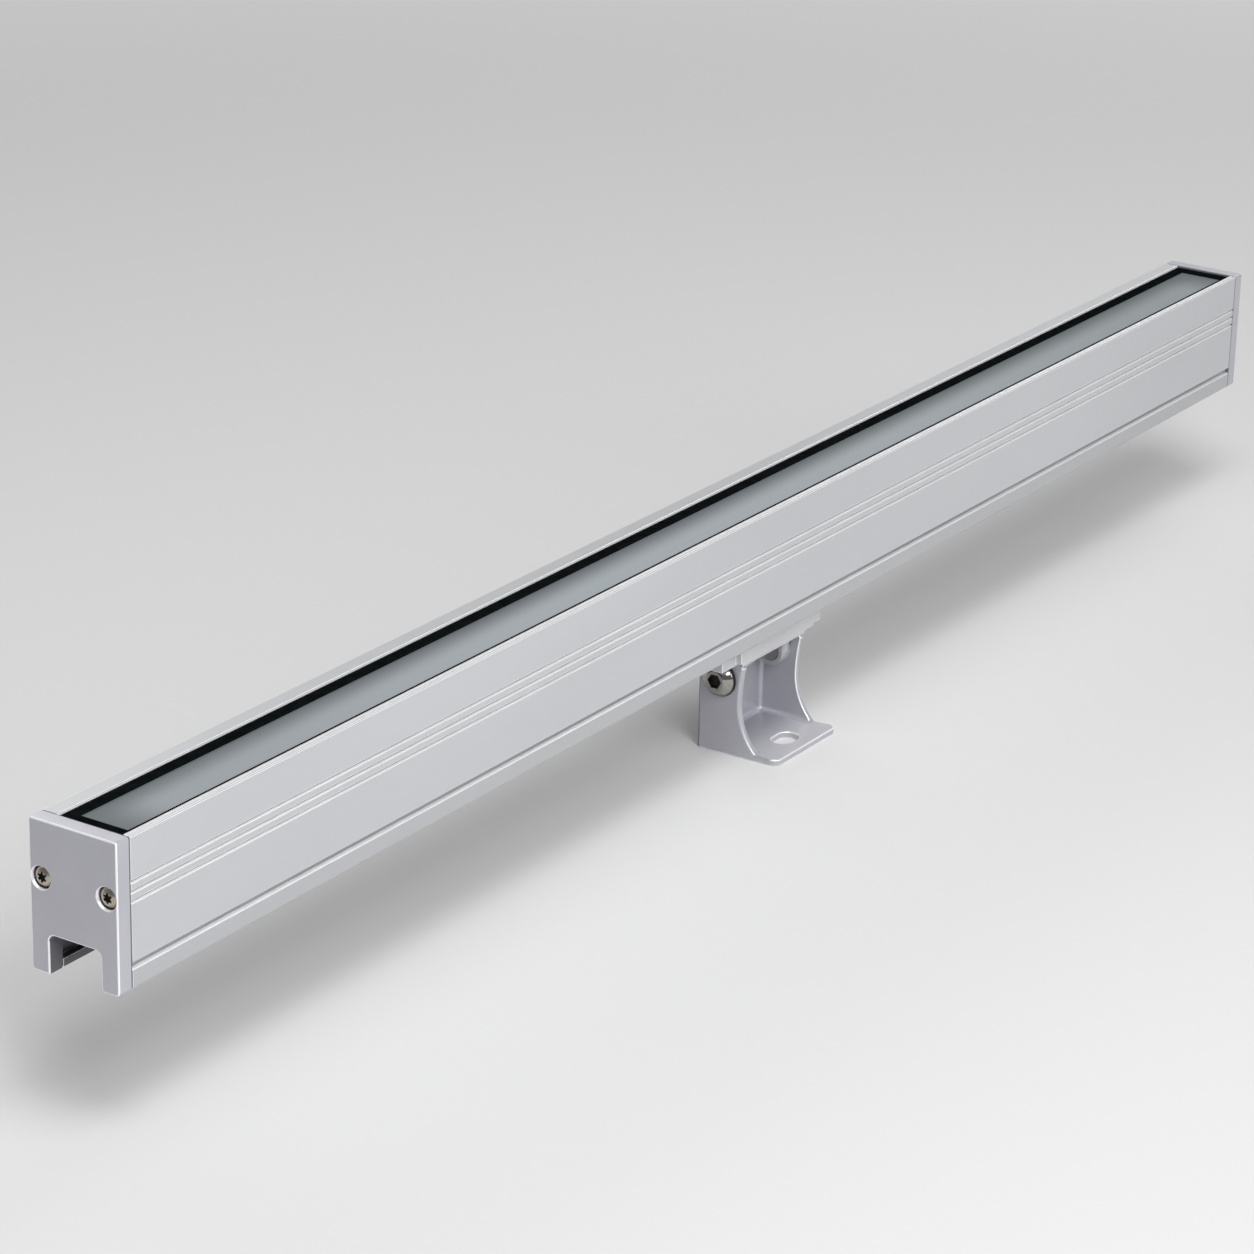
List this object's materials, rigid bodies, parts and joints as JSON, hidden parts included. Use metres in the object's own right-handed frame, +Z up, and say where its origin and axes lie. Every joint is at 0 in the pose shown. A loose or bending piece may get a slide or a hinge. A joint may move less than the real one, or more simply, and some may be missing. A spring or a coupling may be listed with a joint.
{
  "type": "outdoor wall washer light",
  "caption": "Slim linear wall washer light with a frosted glass top, screwed end caps and a cast foot bracket that tilts and slides along a channel.",
  "frame": {"origin": "on the flat underside of the foot, straight below the middle of the pivot axis", "axes": "+X along the bar towards the end with the cable gland; -Y towards the open front of the foot and the narrow rail; +Z up, the way the light shines at rest"},
  "size_m": [0.6, 0.0339, 0.0772],
  "materials": {
    "cast_grey": "satin powder coat over a die casting",
    "anodised": "fine matt anodised extrusion",
    "polished_steel": "polished stainless steel",
    "bare_steel": "plain stainless steel",
    "black_nylon": "moulded black nylon",
    "white_nylon": "moulded natural nylon",
    "black_rubber": "smooth silicone rubber",
    "frosted_glass": "etched outside, tempered",
    "clear_acrylic": "clear moulded acrylic",
    "white_board": "white solder mask on an aluminium board",
    "phosphor": "yellow phosphor in clear resin",
    "green_board": "green solder mask on fibre board",
    "dark_parts": "moulded and sleeved electronic parts",
    "red_wire": "silicone insulated leads",
    "nickel_brass": "nickel plated brass"
  },
  "bodies": {
    "foot": {"foot_bracket": "cast_grey"},
    "carrier": {"slider_block": "cast_grey", "pivot_screws": "polished_steel", "head_washers": "black_nylon", "friction_washers": "white_nylon", "lock_screws": "bare_steel"},
    "bar": {"housing": "anodised", "end_cap_left": "cast_grey", "end_cap_right": "cast_grey", "end_gasket_left": "black_rubber", "end_gasket_right": "black_rubber", "end_cap_screws": "bare_steel", "glass_cover": "frosted_glass", "glass_seal": "black_rubber", "lens_strip": "clear_acrylic", "led_board": "white_board", "led_lamps": "phosphor", "board_screws": "bare_steel", "driver_board": "green_board", "driver_parts": "dark_parts", "lead_wires": "red_wire", "cable_gland": "nickel_brass", "gland_ring": "black_rubber", "gland_nut": "nickel_brass", "gland_sleeve": "black_rubber"}
  },
  "joints": [
    {"name": "tilt", "type": "hinge", "parent": "foot", "child": "carrier", "pos_m": [0, 0, 0.0234], "axis": [1, 0, 0], "range_deg": [-65, 70]},
    {"name": "slide", "type": "slide", "parent": "carrier", "child": "bar", "axis": [1, 0, 0], "range_m": [-0.2, 0.2]}
  ]
}
